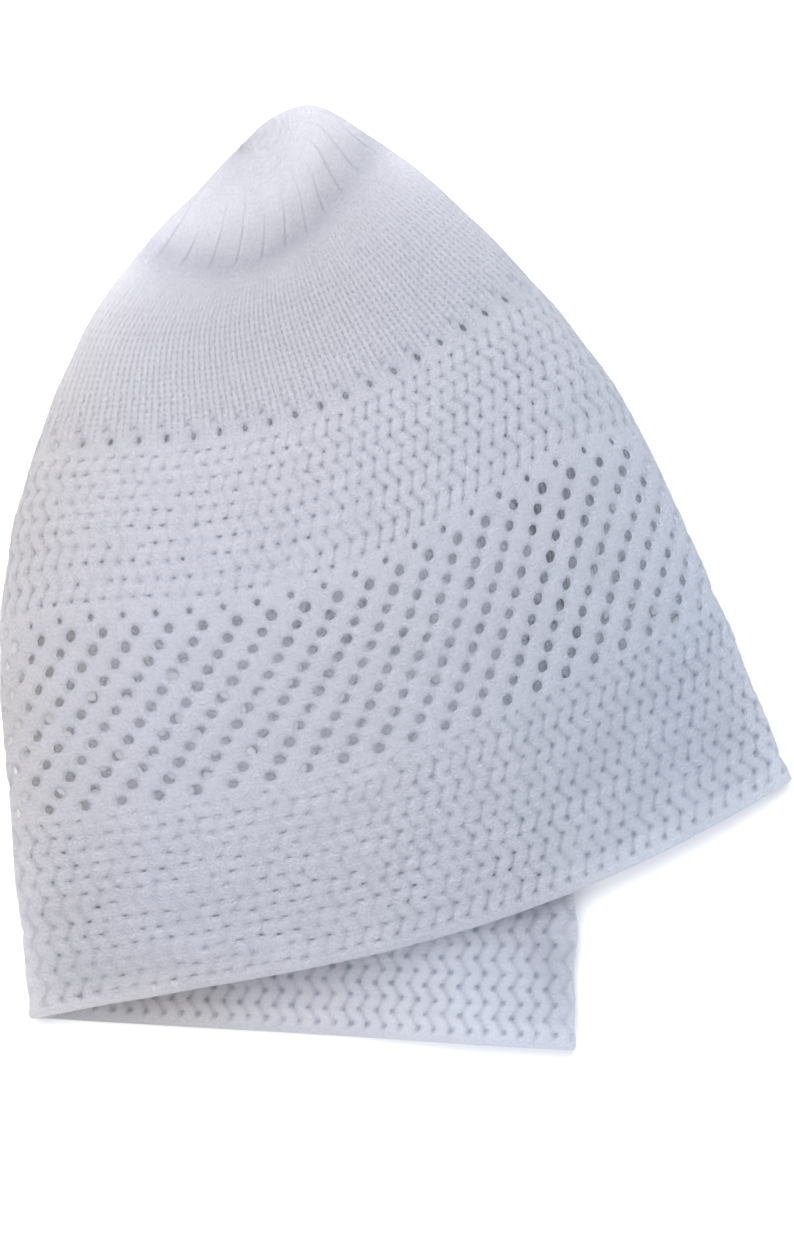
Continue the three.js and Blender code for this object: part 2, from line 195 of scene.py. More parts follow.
def plain_lower(turn, c, climb, floor):
    w = (1 - np.cos(turn)) / 2
    s = np.clip(-np.sin(turn), 0, 1)
    edge = LOFT * mix(c["edge_left"], c["edge_right"], w)
    bed = floor + LOFT * c["bed"]
    nose = nose_at(climb)
    roll = np.clip(1 - (s / mix(0.6, 1, nose)) ** mix(1, 0.6, nose), 0, 1) ** mix(1.6, 1, nose)
    z = bed + np.clip(edge - bed, 0, None) * roll
    return on_course(c, w, c["bed_bow"] * SPAN_Y * s ** c["ends"], z)


def lower_stations():
    """run, share, bend and turn of each station round the lower layer, from right to left."""
    out = []
    for angle in np.linspace(0, 90, 10)[1:]:
        out.append(("right_roll", 0, angle, 180 + 20 * angle / 90))
    for share in np.linspace(0.1, 0.95, 14):
        out.append(("to_inner", share, 0, mix(200, 222, share)))
    for bend in np.linspace(-90, 90, 13):
        out.append(("inner", 0, bend, 225 + 3 * bend / 90))
    for share in np.linspace(0.05, 0.95, 10):
        out.append(("to_outer", share, 0, mix(228, 238.5, share)))
    for bend in np.linspace(-90, 90, 13):
        out.append(("outer", 0, bend, 240.9 + 2.4 * bend / 90))
    for share in np.linspace(0.01, 0.94, 50):
        out.append(("flap", share, 0, mix(243.5, 340, share / 0.95)))
    for angle in np.linspace(90, 0, 10)[:-1]:
        out.append(("left_roll", 0, angle, 360 - 19 * angle / 90))
    return out


STATIONS = lower_stations()
STATION_TURNS = np.radians([s[3] for s in STATIONS])
INNER_START = next(i for i, s in enumerate(STATIONS) if s[0] == "inner") + 6
OUTER_START = next(i for i, s in enumerate(STATIONS) if s[0] == "outer") + 6


def tucked_lower(c, climb, floor):
    t = {name: curve(min(climb, TUCK[-1][0])) for name, curve in TUCK_AT.items()}
    inner = np.array([t["inner_x"] * SPAN_X, t["inner_y"] * SPAN_Y])
    outer = np.array([t["outer_x"] * SPAN_X, t["outer_y"] * SPAN_Y])
    to_inner = (inner - c["right"]) / np.linalg.norm(inner - c["right"])
    to_outer = (outer - c["left"]) / np.linalg.norm(outer - c["left"])
    radius = TUCK_STEP / 2
    points = []
    for run, share, angle, _ in STATIONS:
        bend = math.radians(angle)
        layer = rolled = 0.0
        if run == "right_roll":
            at = mix(c["right"], inner, 0.06 * (1 - math.cos(bend)))
            rolled = (1 - math.sin(bend)) * c["edge_right"]
        elif run == "to_inner":
            at = mix(c["right"], inner, share)
        elif run == "inner":
            at = inner + to_inner * radius * math.cos(bend)
            layer = (1 + math.sin(bend)) / 2
        elif run == "to_outer":
            at = mix(inner, outer, share)
            layer = 1.0
        elif run == "outer":
            at = outer + to_outer * radius * math.cos(bend)
            layer = (3 + math.sin(bend)) / 2
        else:
            if run == "left_roll":
                share = 1 - 0.05 * (1 - math.cos(bend))
                rolled = (1 - math.sin(bend)) * c["edge_left"]
            at = mix(outer, c["left"], share)
            at = at - np.array([0, t["flap_bow"] * SPAN_Y * 4 * share * (1 - share)])
            layer = 2 * (1 - float(smooth(*FLAP_SINKS, share)))
        points.append((at[0], at[1], floor + layer * TUCK_STEP + rolled * (LOFT - floor)))
    return np.array(points)


def lower_layer(c, climb, floor):
    plain = plain_lower(STATION_TURNS, c, climb, floor)
    if climb >= TUCK_SINKS[1]:
        return plain
    tucked = tucked_lower(c, climb, floor)
    at = mix(tucked, plain, smooth(*TUCK_CLOSES, climb))
    at[:, 2] = mix(tucked[:, 2], plain[:, 2], smooth(*TUCK_SINKS, climb))
    return at


def spaced(points, count_from, count_to, wanted):
    """Points at even spacing along a stretch that runs from one column to another."""
    reach = np.concatenate([[0], np.cumsum(np.linalg.norm(np.diff(points, axis=0), axis=1))])
    at = (wanted - count_from) / (count_to - count_from) * reach[-1]
    return np.column_stack([np.interp(at, reach, points[:, k]) for k in range(3)])


TOP_TURNS = np.linspace(0, np.pi, 181)


def course_points(climb, columns):
    """The middle of the knit's thickness at each column of a course, in millimetres."""
    floor = mix(HEM / 2, WALL / 2, float(smooth(*HEM_TO_WALL, climb)))
    c = lay_course(climb)
    top = upper_layer(TOP_TURNS, c, climb)
    low = np.vstack([top[-1:], lower_layer(c, climb, floor), top[:1]])
    spread = {name: float(curve(climb)) for name, curve in SPREAD_AT.items()}
    first, count = spread["first"], spread["count"]
    at = (columns - first) % COLUMNS
    passed = column_curve(
        (0, 0.25, 0.5, 0.75, 1),
        (0, spread["quarter"], spread["half"], spread["three_quarters"], 1),
    )
    upper = at < count
    at[upper] = passed(at[upper] / count) * count
    edges = (0, count, INNER_FOLD - first, OUTER_FOLD - first, COLUMNS)
    stretches = (
        top,
        low[: INNER_START + 2],
        low[INNER_START + 1 : OUTER_START + 2],
        low[OUTER_START + 1 :],
    )
    out = np.zeros((len(columns), 3))
    for points, start, end in zip(stretches, edges[:-1], edges[1:]):
        mine = (at >= start) & (at <= end)
        out[mine] = spaced(points, start, end, at[mine])
    return out - MIDDLE


def surface(climbs, columns):
    """Points in the middle of the knit and its outward directions, on a grid of courses."""
    points = np.array([course_points(t, columns % COLUMNS) for t in climbs])
    around = np.roll(points, -1, axis=1) - np.roll(points, 1, axis=1)
    around[:, 0] = points[:, 1] - points[:, -2]
    around[:, -1] = around[:, 0]
    up = np.gradient(points, axis=0)
    normals = np.cross(around, up)
    normals /= np.maximum(np.linalg.norm(normals, axis=2, keepdims=True), 1e-9)
    return points, normals


# Rows of the knit, counted from the foot of the eyelet band
FOOT_ROW = -BAND_FOOT / ROW
SLOT_ROW = (SLOT_CLIMB - BAND_FOOT) / ROW
RIM_ROW = (RIM_CLIMB - BAND_FOOT) / ROW
TOP_ROW = (1 - BAND_FOOT) / ROW
HEM_TOP = -12.7
HEM_SLOPE = (FOOT_ROW + 1.1, FOOT_ROW + 1.5)
LOWER_LACE = range(-13, 0)
UPPER_LACE = range(13, 23)
LOWER_LACE_STARTS = (-13.6, -13.15)
LOWER_LACE_ENDS = (-1.3, -0.7)
UPPER_LACE_STARTS = (12.6, 13.2)
UPPER_LACE_ENDS = (21.8, 22.4)
PIT_ROWS = (24.67, 25.17, 25.67, 26.17)
# The mesh has fine rows where there are holes, and they lie between the holes' own rows
FINE_START = -13.5 + 1 / (2 * CELL)
FINE_END = 26.75 - 1 / (2 * CELL)
HEM_STEPS = (0, 0.025, 0.07, 0.13, 0.2, 0.28, 0.36, 0.44)
SHOULDER_STEPS = 32
CROWN_STEPS = 37
TIP_HOLE = 0.02


def grid_rows():
    hem = FOOT_ROW + np.array(HEM_STEPS)
    fine = np.arange(FINE_START, FINE_END + 0.01, 1 / CELL)
    shoulder = np.linspace(FINE_END, RIM_ROW, SHOULDER_STEPS + 1)[1:]
    crown = np.linspace(RIM_ROW, TOP_ROW, CROWN_STEPS + 1)[1:-1]
    return np.concatenate([hem, fine, shoulder, crown, [TOP_ROW - TIP_HOLE]])


ROWS = grid_rows()
COLS = np.arange(COLUMNS * CELL + 1) / CELL
rng = np.random.default_rng(41)

# Gathers of the crown: how many, how far each reaches up from the rim in rows, and their shape
RIBS = 28
RIB_REACH = rng.uniform(1.6, 5.5, RIBS)
RIB_DEPTH = 0.5
RIB_WIDTH = 0.055


def wave_noise(columns, rows, scale, count):
    """A soft random height between about -1 and 1 that closes round the cap."""
    total = np.zeros(np.broadcast(columns, rows).shape)
    for _ in range(count):
        around = rng.integers(-scale, scale + 1)
        along = rng.uniform(-scale, scale) / COLUMNS
        phase = rng.uniform(0, 2 * np.pi)
        total += np.cos(2 * np.pi * (around * columns / COLUMNS + along * rows) + phase)
    return total / math.sqrt(count)


# Holes. Columns and rows are the units of every place and half size here.
EYELET_START = 0.8
EYELET_LEAN = 2 / 3
EYELET_HALF = (0.32, 0.36)
# The top row of eyelets is small, and it stands two rows back
LAST_EYELET_SIZE = 0.62
LAST_EYELET_BACK = 2
LACE_SIDE = 0.25
LACE_HALF = (0.12, 0.13)
DASH_HALF = (0.185, 0.1)
FILLED_HALF = (0.13, 0.14)
DASHES_LEFT_OUT = 0.2
SLOT_START = 0.6
SLOT_HALF = (0.21, 0.32)
COMPANION_OFF = (-0.42, 0.92)
COMPANION_HALF = (0.12, 0.13)
PIT_START = 0.08
PIT_HALF = (0.075, 0.085)
PITS_LEFT_OUT = 0.3
# Right of this column the lower lace lies close on the layer beneath
DRAWN_DOWN = 27
NEAR_FOLD = 1.25
# A hole is felt round it as far as this many of its half sizes
HOLE_REACH = 4
FAR = 99.0


def near_fold(column):
    """The stretch beside a fold is drawn tight and shows no holes."""
    folds = (0, UPPER_COLUMNS, OUTER_FOLD, COLUMNS)
    return min(abs(column - fold) for fold in folds) < NEAR_FOLD


def dashed(column):
    """1 on the left of the upper layer, where the knit is drawn sideways, and 0 elsewhere."""
    return smooth(1, 6, column) * (1 - smooth(12, 27, column))


def eyelets():
    """Column, row, half width and half height of each eyelet, as in the functions below."""
    half_w, half_h = EYELET_HALF
    out = []
    for row in range(BAND_ROWS + 1):
        last = row == BAND_ROWS
        size = LAST_EYELET_SIZE if last else 1.0
        lean = EYELET_LEAN * (row - LAST_EYELET_BACK if last else row)
        for k in range(COLUMNS // 2):
            column = (EYELET_START + 2 * k + lean) % COLUMNS
            grow = size * rng.uniform(0.9, 1.08)
            out.append((column, row, half_w * grow, half_h * grow))
    return out


def lace_holes():
    """The small holes of both lace zones: those cut through, and those the knit beneath fills."""
    through, filled = [], []
    for row in (*LOWER_LACE, *UPPER_LACE):
        side = LACE_SIDE if row % 2 == 0 else -LACE_SIDE
        for k in range(COLUMNS):
            column = k + 0.5 + side
            flat = dashed(k + 0.5)
            lies_close = row < 0 and (k > OUTER_FOLD or DRAWN_DOWN < k < UPPER_COLUMNS)
            grow = rng.uniform(0.6, 1.12)
            left_out = rng.uniform() < DASHES_LEFT_OUT * flat
            stray = mix(0.06, 0.13, flat)
            shift_w, shift_h = rng.uniform(-stray, stray, 2)
            if left_out or (row < 0 and near_fold(column)):
                continue
            if lies_close:
                half_w, half_h = FILLED_HALF
            else:
                half_w, half_h = (mix(a, b, flat) for a, b in zip(LACE_HALF, DASH_HALF))
            hole = (column + shift_w, row + shift_h, half_w * grow, half_h * grow)
            (filled if lies_close else through).append(hole)
    return through, filled


def slots():
    """The row of tall slots under the shoulder, each with a small hole up and left of it."""
    half_w, half_h = SLOT_HALF
    left, up = COMPANION_OFF
    out = []
    for k in range(COLUMNS // 2):
        at = 2 * k + SLOT_START
        out.append((at, SLOT_ROW, half_w, half_h * rng.uniform(0.8, 1.1)))
        out.append((at + left, SLOT_ROW + up, *COMPANION_HALF))
    return out


def pits():
    """Small pits at the foot of the shoulder's wales."""
    half_w, half_h = PIT_HALF
    out = []
    for row in PIT_ROWS:
        for k in range(COLUMNS):
            if rng.uniform() < PITS_LEFT_OUT:
                continue
            out.append((k + PIT_START, row, half_w * rng.uniform(0.5, 1.1), half_h))
    return out


def around_holes(holes, wider, taller):
    return [(at, row, wider * half_w, taller * half_h) for at, row, half_w, half_h in holes]


def near_holes(holes, columns, rows):
    """For each grid point, the nearest hole's measure: below 1 inside it, and which hole."""
    measure = np.full((len(rows), len(columns)), FAR)
    owner = np.full(measure.shape, -1)
    width = COLUMNS * CELL
    offset = columns[0]
    for index, (at, row, half_w, half_h) in enumerate(holes):
        tall = HOLE_REACH * half_h
        low, high = np.searchsorted(rows, [row - tall, row + tall])
        reach = max(3, int(math.ceil(HOLE_REACH * half_w * CELL)))
        middle = int(round((at - offset) * CELL))
        picks = np.arange(middle - reach, middle + reach + 1)
        dx = (offset + picks / CELL - at) / half_w
        picks = picks % width
        dy = (rows[low:high] - row) / half_h
        f = np.sqrt(dx[None, :] ** 2 + dy[:, None] ** 2)
        window = np.ix_(np.arange(low, high), picks)
        better = f < measure[window]
        measure[window] = np.where(better, f, measure[window])
        owner[window] = np.where(better, index, owner[window])
    if len(columns) == width + 1:
        measure[:, -1] = measure[:, 0]
        owner[:, -1] = owner[:, 0]
    return measure, owner


def sample(grid, row, col):
    """Bilinear value of a grid at fractional row and column indices."""
    r0 = np.clip(np.floor(row).astype(int), 0, grid.shape[0] - 2)
    c0 = np.clip(np.floor(col).astype(int), 0, grid.shape[1] - 2)
    fr, fc = row - r0, col - c0
    if grid.ndim == 3:
        fr, fc = fr[:, None], fc[:, None]
    low = grid[r0, c0] * (1 - fc) + grid[r0, c0 + 1] * fc
    high = grid[r0 + 1, c0] * (1 - fc) + grid[r0 + 1, c0 + 1] * fc
    return low * (1 - fr) + high * fr


# Relief of the lace in millimetres. The zigzag grooves run up the knit between its loops.
GROOVE_DEPTH = 0.42
GROOVE_DEPTH_DASHED = 0.2
GROOVE_DEEPER_ON_FLAP = 0.14
GROOVE_WIDTH = 0.55
GROOVE_SLANT = 0.88
ROW_SWELL = 0.06
ROW_SWELL_DASHED = 0.07
DOT_DEPTH = 0.35
DEEPEST = 0.65
INNER_RELIEF = 0.8
FLAP_END = COLUMNS - 6
# Long soft swells of the whole knit
SWELL = 0.22
# The knit thins towards a hole over this many millimetres, down to this share
HOLE_EDGE = 1.1
HOLE_EDGE_SHARE = 0.45
# The welt's rounded foot, and half the thickness of the welt and of the lace
FOOT_EDGE = 1.2
HALF_HEM = 1.15
HALF_WALL = 0.8
LOWEST = 0.02
# How much painted shade each kind of hollow adds; the hem, the crown's fold and the inner face
# get some too
GROOVE_SHADE = 0.48
RIM_SHADE = 0.4
DOT_SHADE = 1.3
HALO_SHADE = 0.4
HEM_SHADE = 0.25
CROWN_FOLD_SHADE = 0.25
INNER_SHADE = 0.04
INNER_SHADE_ON_FLAP = 0.25
MOST_SHADE = 1.6


def in_lace(rows):
    """1 on the rows of both lace zones, fading to 0 past their first and last rows."""
    lower = smooth(*LOWER_LACE_STARTS, rows) * (1 - smooth(*LOWER_LACE_ENDS, rows))
    upper = smooth(*UPPER_LACE_STARTS, rows) * (1 - smooth(*UPPER_LACE_ENDS, rows))
    return lower + upper


def grooves(columns, rows):
    zigzag = LACE_SIDE * (1 - 2 * np.abs((rows + 1) % 2 - 1))
    across = np.abs(columns % 1 - 0.5 - zigzag) * COLUMN_MM * GROOVE_SLANT
    at = columns % COLUMNS
    flat = dashed(at)
    flap = (at > OUTER_FOLD) * (1 - smooth(FLAP_END, COLUMNS - 1, at)) * (rows < 0)
    uneven = 1 + 0.3 * wave_noise(columns, rows, 50, 30)
    depth = mix(GROOVE_DEPTH, GROOVE_DEPTH_DASHED, flat) + GROOVE_DEEPER_ON_FLAP * flap
    groove = -depth * uneven * np.exp(-((across / GROOVE_WIDTH) ** 2))
    return groove + mix(ROW_SWELL, ROW_SWELL_DASHED, flat) * np.cos(2 * np.pi * (rows - 0.5))


def crown_ribs(columns, rows):
    crown = smooth(RIM_ROW - 0.7, RIM_ROW + 0.2, rows)
    place = RIBS * columns / COLUMNS
    reach = RIB_REACH[np.round(place).astype(int) % RIBS]
    fade = 1 - smooth(RIM_ROW + 0.3 * reach, RIM_ROW + reach, rows)
    rib = np.exp(-(((place - np.round(place)) / RIB_WIDTH) ** 2))
    return -RIB_DEPTH * crown * fade * rib


def relief_at(columns, rows):
    """Height of the outer face over the plain knit, in millimetres."""
    return in_lace(rows) * grooves(columns, rows) + crown_ribs(columns, rows)


def bulge(share):
    """A quarter round: 0 at an edge, and 1 from the full share on."""
    return np.sqrt(np.clip(1 - (1 - np.clip(share, 0, 1)) ** 2, 0, 1))


def half_thickness(rows):
    edge = bulge((rows - FOOT_ROW) * ROW_MM / FOOT_EDGE)
    return mix(HALF_HEM, HALF_WALL, smooth(*HEM_SLOPE, rows)) * edge


def cut_grid(measure, owner, holes, columns, rows):
    """Which faces stay, and where each grid point goes so that the rims follow the holes."""
    mid_cols = (columns[:-1] + columns[1:]) / 2
    mid_rows = (rows[:-1] + rows[1:]) / 2
    face_f, _ = near_holes(holes, mid_cols, mid_rows)
    keep = face_f > 1
    gone = np.zeros(measure.shape, bool)
    kept = np.zeros(measure.shape, bool)
    for dr in (0, 1):
        for dc in (0, 1):
            gone[dr : dr + keep.shape[0], dc : dc + keep.shape[1]] |= ~keep
            kept[dr : dr + keep.shape[0], dc : dc + keep.shape[1]] |= keep
    for flags in (gone, kept):
        flags[:, 0] |= flags[:, -1]
        flags[:, -1] = flags[:, 0]
    rim = gone & kept
    table = np.array(holes)
    grid_c, grid_r = np.meshgrid(columns, rows)
    mine = table[owner]
    start = columns[0]
    from_hole = (grid_c - mine[..., 0] + COLUMNS / 2) % COLUMNS - COLUMNS / 2
    place_c = np.where(rim, grid_c - from_hole + from_hole / measure, grid_c)
    place_r = np.where(rim, mine[..., 1] + (grid_r - mine[..., 1]) / measure, grid_r)
    return keep, rim, place_c - start, place_r


def row_shift(column, row):
    """How far the pattern sits off the plain courses, in rows: the eyelet band's foot sags."""
    across = (column % COLUMNS) / UPPER_COLUMNS
    sags = smooth(0.1, 0.6, across) * (1 - smooth(0.96, 1, across))
    return -0.5 * sags * np.exp(-(((row + 1) / 7) ** 2))


def falloff(holes, columns):
    """1 in the middle of each hole, fading to 0 round it."""
    return np.exp(-(near_holes(holes, columns, ROWS)[0] ** 2)).ravel()


def shade_of(column, row, relief, rounded, dots, halos):
    """How much painted shade the yarn gets, for the outer and then the inner face."""
    hem = 1 - smooth(-13.7, -13.0, row)
    fold = np.exp(-(((row - RIM_ROW + 0.2) / 0.9) ** 2))
    outer = GROOVE_SHADE * np.clip(-relief / 0.5, 0, 1) + RIM_SHADE * (1 - rounded)
    outer = outer + DOT_SHADE * dots + HALO_SHADE * halos
    outer = outer + HEM_SHADE * hem + CROWN_FOLD_SHADE * fold
    lies_open = (column % COLUMNS > OUTER_FOLD) * (row < -1)
    inner = outer + mix(INNER_SHADE, INNER_SHADE_ON_FLAP, lies_open)
    return np.clip(np.concatenate([outer, inner]), 0, MOST_SHADE)


def build_mesh():
    columns = FIRST_COLUMN + COLS
    measure, owner = near_holes(HOLES, columns, ROWS)
    keep, rim, place_c, place_r = cut_grid(measure, owner, HOLES, columns, ROWS)
    points, normals = surface(BAND_FOOT + ROWS * ROW, columns)
    column, row = place_c.ravel() + FIRST_COLUMN, place_r.ravel()
    at_row = np.interp(row + row_shift(column, row), ROWS, np.arange(len(ROWS)))
    at_col = place_c.ravel() * CELL
    points = sample(points, at_row, at_col)
    normals = sample(normals, at_row, at_col)
    normals /= np.maximum(np.linalg.norm(normals, axis=1, keepdims=True), 1e-9)
    table = np.array(HOLES)[owner]
    size_mm = (table[..., 2] * COLUMN_MM + table[..., 3] * ROW_MM) / 2
    to_rim = np.where(rim, 0, np.clip(measure - 1, 0, 9) * size_mm).ravel()
    rounded = bulge(to_rim / HOLE_EDGE)
    relief = relief_at(column, row)
    dots = falloff(DOTS, columns)
    relief = np.maximum(relief - DOT_DEPTH * dots, -DEEPEST)
    swell = SWELL * wave_noise(column, row, 26, 24)
    half = half_thickness(row) * mix(HOLE_EDGE_SHARE, 1, rounded)
    outer = points + normals * (swell + relief + half)[:, None]
    inner = points + normals * (swell - INNER_RELIEF * relief * rounded - half)[:, None]
    for face in (outer, inner):
        face[:, 2] = np.maximum(face[:, 2], LOWEST)
    painted_shade = shade_of(column, row, relief, rounded, dots, falloff(HALOS, columns))
    uv = np.column_stack([place_c.ravel(), place_r.ravel()])
    return outer, inner, uv, keep, painted_shade


def grid_faces(keep):
    count_r, count_c = keep.shape
    index = np.arange((count_r + 1) * (count_c + 1)).reshape(count_r + 1, count_c + 1)
    quads = np.stack([index[:-1, :-1], index[:-1, 1:], index[1:, 1:], index[1:, :-1]], axis=-1)
    rows = np.repeat(np.arange(count_r), count_c)
    chosen = keep.ravel()
    return quads.reshape(-1, 4)[chosen], rows[chosen]


def rim_walls(keep, shift):
    """Quads that join the outer face to the inner one round every hole."""
    count_r, count_c = keep.shape
    index = np.arange((count_r + 1) * (count_c + 1)).reshape(count_r + 1, count_c + 1)
    walls, rows = [], []
    r, c = np.nonzero(keep & ~np.roll(keep, -1, axis=1))
    walls.append(np.column_stack([index[r, c + 1], index[r + 1, c + 1]]))
    rows.append(r)
    r, c = np.nonzero(keep & ~np.roll(keep, 1, axis=1))
    walls.append(np.column_stack([index[r + 1, c], index[r, c]]))
    rows.append(r)
    r, c = np.nonzero(keep[:-1] & ~keep[1:])
    walls.append(np.column_stack([index[r + 1, c + 1], index[r + 1, c]]))
    rows.append(r)
    r, c = np.nonzero(keep[1:] & ~keep[:-1])
    walls.append(np.column_stack([index[r + 1, c], index[r + 1, c + 1]]))
    rows.append(r + 1)
    edges = np.vstack(walls)
    quads = np.column_stack([edges[:, 1], edges[:, 0], edges[:, 0] + shift, edges[:, 1] + shift])
    return quads, np.concatenate(rows)


def vertex_normals(vertices, faces, width):
    a, b, c, d = (vertices[faces[:, k]] for k in range(4))
    flat = np.cross(c - a, d - b)
    total = np.zeros_like(vertices)
    for k in range(4):
        for axis in range(3):
            total[:, axis] += np.bincount(faces[:, k], flat[:, axis], len(vertices))
    grid = total.reshape(2, -1, width, 3)
    both = grid[:, :, 0] + grid[:, :, -1]
    grid[:, :, 0] = both
    grid[:, :, -1] = both
    return total / np.maximum(np.linalg.norm(total, axis=1, keepdims=True), 1e-12)


def make_piece(name, vertices, normals, faces, uv, painted_shade, material):
    used = np.unique(faces)
    lookup = np.full(len(vertices), -1)
    lookup[used] = np.arange(len(used))
    local = lookup[faces]
    mesh = bpy.data.meshes.new(name)
    mesh.vertices.add(len(used))
    mesh.vertices.foreach_set("co", (vertices[used] * MM).ravel())
    mesh.loops.add(local.size)
    mesh.loops.foreach_set("vertex_index", local.ravel())
    mesh.polygons.add(len(local))
    mesh.polygons.foreach_set("loop_start", np.arange(len(local)) * 4)
    mesh.polygons.foreach_set("loop_total", np.full(len(local), 4))
    mesh.update(calc_edges=True)
    mesh.polygons.foreach_set("use_smooth", np.ones(len(local), bool))
    layer = mesh.uv_layers.new(name="knit")
    layer.data.foreach_set("uv", uv[faces].astype(np.float32).ravel())
    mark = mesh.attributes.new("painted_shade", "FLOAT", "POINT")
    mark.data.foreach_set("value", painted_shade[used].astype(np.float32))
    mesh.normals_split_custom_set_from_vertices(normals[used])
    mesh.materials.append(material)
    thing = bpy.data.objects.new(name, mesh)
    bpy.context.scene.collection.objects.link(thing)
    return thing


# Rows at which one piece ends and the next begins
BAND_SEAM = -1.4
UPPER_LACE_SEAM = 11.1
SHOULDER_SEAM = 21.1
CROWN_SEAM = RIM_ROW - 0.01
# Each piece: name, the node it stands for, its finish, first row and last row
PIECES = [
    ("hem", "hem_band", "hem_knit", FOOT_ROW - 1, HEM_TOP),
    ("lower_lace", "side_wall", "lace_knit", HEM_TOP, BAND_SEAM),
    ("eyelet_band", "side_wall", "lace_knit", BAND_SEAM, UPPER_LACE_SEAM),
    ("upper_lace", "side_wall", "lace_knit", UPPER_LACE_SEAM, SHOULDER_SEAM),
    ("shoulder", "side_wall", "lace_knit", SHOULDER_SEAM, CROWN_SEAM),
    ("crown", "crown_disc", "crown_knit", CROWN_SEAM, TOP_ROW + 1),
]

EYELETS = eyelets()
SLOTS = slots()
LACE_HOLES, DOTS = lace_holes()
HOLES = EYELETS + LACE_HOLES + SLOTS + pits()
# The shaded yarn round the slots and eyelets
HALOS = around_holes(SLOTS, 2.2, 1.7) + around_holes(EYELETS, 1.2, 1.2)


def build_cap(material):
    outer, inner, uv, keep, painted_shade = build_mesh()
    count = len(outer)
    faces, face_rows = grid_faces(keep)
    back = faces[:, ::-1] + count
    walls, wall_rows = rim_walls(keep, count)
    vertices = np.vstack([outer, inner])
    every = np.vstack([faces, back, walls])
    rows = ROWS[np.concatenate([face_rows, face_rows, wall_rows])]
    normals = vertex_normals(vertices, every, len(COLS))
    uv2 = np.vstack([uv, uv])
    for name, node, slot, first, last in PIECES:
        mine = (rows >= first) & (rows < last)
        piece = make_piece(name, vertices, normals, every[mine], uv2, painted_shade, material)
        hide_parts(node)
        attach(piece, "root")
        print("piece", name, 2 * int(mine.sum()))


def linear(r, g, b):
    """Linear colour from the 0 to 255 values of a screen colour."""
    out = []
    for v in (r, g, b):
        s = v / 255
        out.append(s / 12.92 if s <= 0.04045 else ((s + 0.055) / 1.055) ** 2.4)
    return (*out, 1)


class Nodes:
    """Short calls for a material's node tree."""

    def __init__(self, name):
        self.material = bpy.data.materials.new(name)
        self.material.use_nodes = True
        self.tree = self.material.node_tree
        self.shader = self.tree.nodes["Principled BSDF"]

    def add(self, kind, values=None, **settings):
        node = self.tree.nodes.new(kind)
        for key, value in settings.items():
            setattr(node, key, value)
        for key, value in (values or {}).items():
            node.inputs[key].default_value = value
        return node

    def link(self, source, target):
        self.tree.links.new(source, target)

    def finish(self, base, values):
        self.link(base, self.shader.inputs["Base Color"])
        for key, value in values.items():
            self.shader.inputs[key].default_value = value

    def noise(self, space, scale, detail, roughness=0.5):
        values = {"Scale": scale, "Detail": detail, "Roughness": roughness}
        node = self.add("ShaderNodeTexNoise", values)
        self.link(space, node.inputs["Vector"])
        return node.outputs["Fac"]

    def ramp(self, value, start, end):
        """0 at the start and 1 at the end, which may lie below it."""
        node = self.add("ShaderNodeMapRange", {"From Min": start, "From Max": end})
        self.link(value, node.inputs["Value"])
        return node.outputs[0]

    def parts(self, vector):
        node = self.add("ShaderNodeSeparateXYZ")
        self.link(vector, node.inputs[0])
        return node.outputs

    def math(self, operation, a, b=None, clamp=False):
        node = self.add("ShaderNodeMath", operation=operation, use_clamp=clamp)
        for socket, value in zip(node.inputs, (a, b)):
            if value is None:
                continue
            if isinstance(value, (int, float)):
                socket.default_value = value
            else:
                self.link(value, socket)
        return node.outputs[0]

    def blend(self, share, first, second, mode="MIX"):
        node = self.add("ShaderNodeMix", data_type="RGBA", blend_type=mode)
        sockets = (node.inputs[0], node.inputs[6], node.inputs[7])
        for socket, value in zip(sockets, (share, first, second)):
            if isinstance(value, (int, float, tuple)):
                socket.default_value = value
            else:
                self.link(value, socket)
        return node.outputs[2]


# Chains of loops to a lace column, loops to a lace row, and how far a loop leans
CHAINS = 2.0
LOOPS = 3.0
LOOP_LEAN = -1.1
# Pits to a lace row in the shoulder's furrows, and the rows at which the furrows fade
FURROW_PITS = 2.3
FURROWS_START = (22.5, 24.5)
FURROWS_END = (33.2, 30.5)
LINT_SCALE = 1300.0
PATCH_SCALE = 20.0
# Bump heights
LOOP_BUMP = 0.3
LINT_BUMP = 1.15
FURROW_BUMP = 1.1

# Yarn colours as screen values from 0 to 255, painted light and painted shade among them
YARN = (240, 241, 251)
YARN_PATCHES = (244, 245, 253)
# Painted light: the yarn is made brighter towards the crown
CROWN_PAINTED_LIGHT = (252, 251, 255)
LINT_GREY = (196, 198, 210)
FLECK_GREY = (175, 177, 192)
# Painted shade between loops and in the shoulder's furrows
LOOP_GAP_SHADE_GREY = (170, 172, 186)
FURROW_SHADE_GREY = (160, 162, 177)
# Painted shade: the grey of the yarn in hollows, round holes, at the hem, along the crown's fold
# and on the flap
HOLLOW_SHADE_GREY = (146, 151, 166)
# The same for the light that passes through the yarn, with painted shade in furrows and hollows
GLOW = (253, 253, 254)
# Painted shade in the furrows
FURROW_SHADE_GLOW = (190, 193, 205)
# Painted shade in those places, for the light through the yarn
HOLLOW_SHADE_GLOW = (178, 183, 196)
# Tints of painted shade with a warm cast, on the left and low down, and of a cooler tint on the
# right, which multiply the colours above
YARN_TINTS = ((0.86, 0.83, 0.78, 1), (0.89, 0.95, 0.99, 1))
GLOW_TINTS = ((0.96, 0.93, 0.86, 1), (0.955, 0.985, 0.995, 1))
TINT_STRENGTH = 1.2
HOLLOW_SHADE_STRENGTH = 0.6
GLOW_SHARE = 0.765
YARN_FINISH = {
    "Roughness": 0.92,
    "Specular IOR Level": 0.0,
    "Sheen Weight": 0.12,
    "Sheen Roughness": 0.5,
}


def stitch_lean(n, column):
    """0 in the middle of a chain of loops and 0.5 between two."""
    across = n.math("FRACT", n.math("MULTIPLY", column, CHAINS))
    return n.math("ABSOLUTE", n.math("SUBTRACT", across, 0.5))


